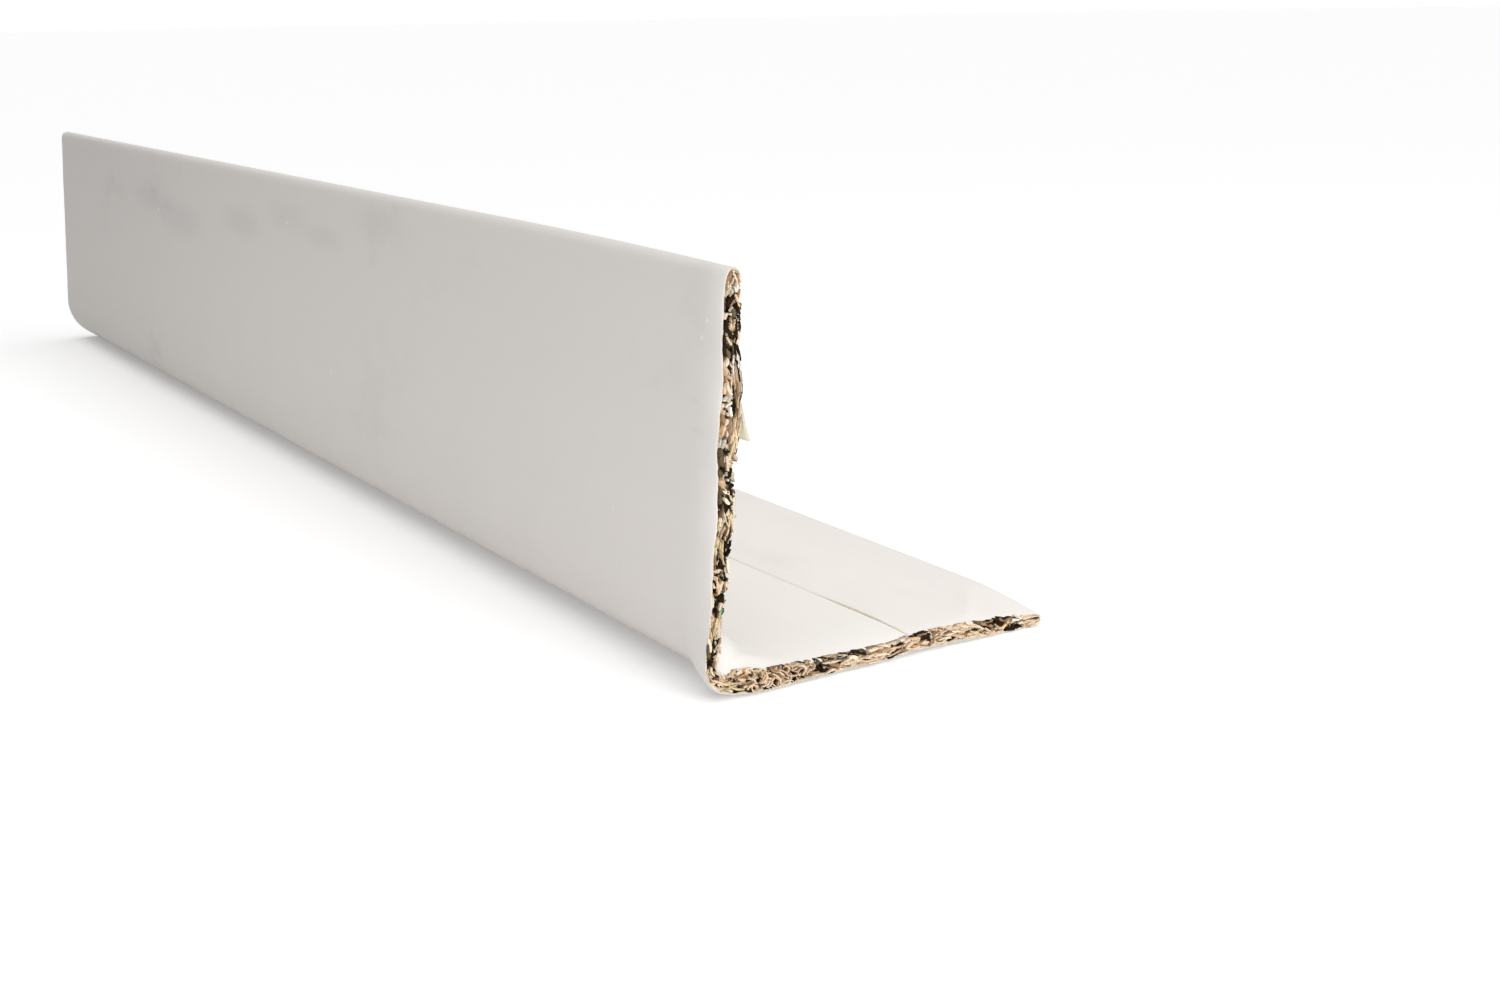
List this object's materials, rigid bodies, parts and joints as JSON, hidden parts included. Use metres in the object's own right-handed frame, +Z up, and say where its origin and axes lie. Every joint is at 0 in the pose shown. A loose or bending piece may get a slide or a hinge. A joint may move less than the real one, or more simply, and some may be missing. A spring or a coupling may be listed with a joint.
{
  "type": "pallet edge protector",
  "caption": "Angle bar of pressed paper-chip board wrapped in white paper, with two equal legs and a rounded heel, laid over a load's edge to guard it from straps and knocks.",
  "frame": {"origin": "middle of the bar's box, on the surface that the flat leg lies on", "axes": "+Y along the bar, away from the sheared end; +X across the flat leg, from the heel to its edge; +Z up the upright leg"},
  "size_m": [0.0496, 0.3, 0.0498],
  "materials": {
    "chip_board": "pressed kraft, white and dark paper chips",
    "white_paper": "off-white smooth paper with a faint sheen",
    "liner_paper": "off-white smooth paper"
  },
  "bodies": {
    "root": {"chip_core": "chip_board", "outer_wrap": "white_paper", "inner_liner": "liner_paper"}
  },
  "joints": []
}
